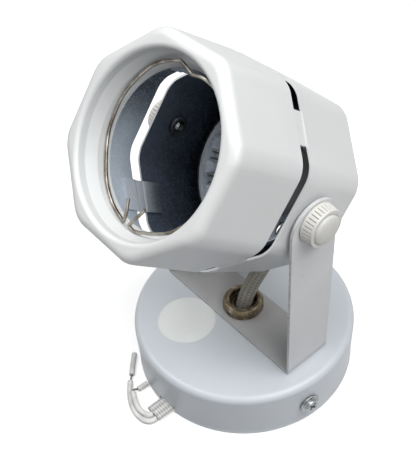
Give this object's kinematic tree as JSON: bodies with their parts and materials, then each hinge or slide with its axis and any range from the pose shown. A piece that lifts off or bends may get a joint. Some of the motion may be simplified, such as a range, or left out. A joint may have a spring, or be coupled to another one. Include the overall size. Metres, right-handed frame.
{
  "type": "adjustable spotlight",
  "caption": "Spotlight with an octagonal open-fronted lamp head that tilts in a strip yoke, which swivels on a round ceiling canopy; knurled side knobs and a braided lead.",
  "frame": {"origin": "middle of the mounting bar's underside, on the plane of the canopy's rim, where the fitting meets the ceiling", "axes": "+Z from the mounting face through the canopy to the head, along the swivel axis; X along the tilt axis; the lamp looks towards -Y and, at rest, 39.3 degrees above it"},
  "size_m": [0.1264, 0.1366, 0.2007],
  "materials": {
    "white_enamel": "semi-gloss white enamel on pressed steel",
    "zinc_steel": "bright zinc plate",
    "aged_brass": "dull darkened brass",
    "spring_steel": "bright spring wire with a warm tint",
    "warm_white_plastic": "satin moulded plastic, warm white",
    "grey_sheet": "blue-grey coated steel sheet",
    "porcelain": "glazed ceramic, cream",
    "glass_fibre_braid": "matt braided sleeving",
    "wire_rubber": "white silicone insulation",
    "tinned_strands": "twisted bare strands",
    "sticker_paper": "plain off-white label stock"
  },
  "bodies": {
    "canopy": {"canopy_cover": "white_enamel", "mounting_bar": "zinc_steel", "canopy_screw_right": "zinc_steel", "canopy_screw_left": "zinc_steel", "swivel_nipple": "aged_brass", "swivel_nut": "aged_brass", "swivel_washer": "zinc_steel", "swivel_lower_nut": "zinc_steel", "blank_sticker": "sticker_paper", "supply_sleeve": "glass_fibre_braid", "supply_wire_1": "wire_rubber", "supply_wire_2": "wire_rubber", "wire_strands_1": "tinned_strands", "wire_strands_2": "tinned_strands", "wire_slug_1": "wire_rubber", "wire_slug_2": "wire_rubber"},
    "yoke": {"yoke_bracket": "white_enamel", "lamp_sleeve": "glass_fibre_braid"},
    "head": {"front_shell": "white_enamel", "rear_shell": "white_enamel", "joining_strap_1": "white_enamel", "joining_strap_2": "white_enamel", "joining_strap_3": "white_enamel", "joining_strap_4": "white_enamel", "retaining_ring": "spring_steel", "vent_ring": "grey_sheet", "lampholder_can": "grey_sheet", "lampholder_body": "porcelain", "threaded_shell": "aged_brass", "centre_contact": "spring_steel", "lampholder_screw_right": "zinc_steel", "lampholder_screw_left": "zinc_steel", "sleeve_bush": "porcelain", "tilt_boss_right": "zinc_steel", "tilt_boss_left": "zinc_steel"},
    "right_knob": {"knob_right": "warm_white_plastic", "knob_cap_right": "warm_white_plastic", "knob_stud_right": "zinc_steel"},
    "left_knob": {"knob_left": "warm_white_plastic", "knob_cap_left": "warm_white_plastic", "knob_stud_left": "zinc_steel"}
  },
  "joints": [
    {"name": "yoke_swivel", "type": "hinge", "parent": "canopy", "child": "yoke", "pos_m": [0, 0, 0.031], "axis": [0, 0, 1], "range_deg": [-170, 170]},
    {"name": "head_tilt", "type": "hinge", "parent": "yoke", "child": "head", "pos_m": [0, 0, 0.1291], "axis": [-1, 0, 0], "range_deg": [-60, 50], "deforming": ["lamp_sleeve"]},
    {"name": "knob_right_turn", "type": "hinge", "parent": "head", "child": "right_knob", "pos_m": [0.0487, 0, 0.1291], "axis": [1, 0, 0], "range_deg": [0, 270]},
    {"name": "knob_left_turn", "type": "hinge", "parent": "head", "child": "left_knob", "pos_m": [-0.0487, 0, 0.1291], "axis": [-1, 0, 0], "range_deg": [0, 270]}
  ]
}
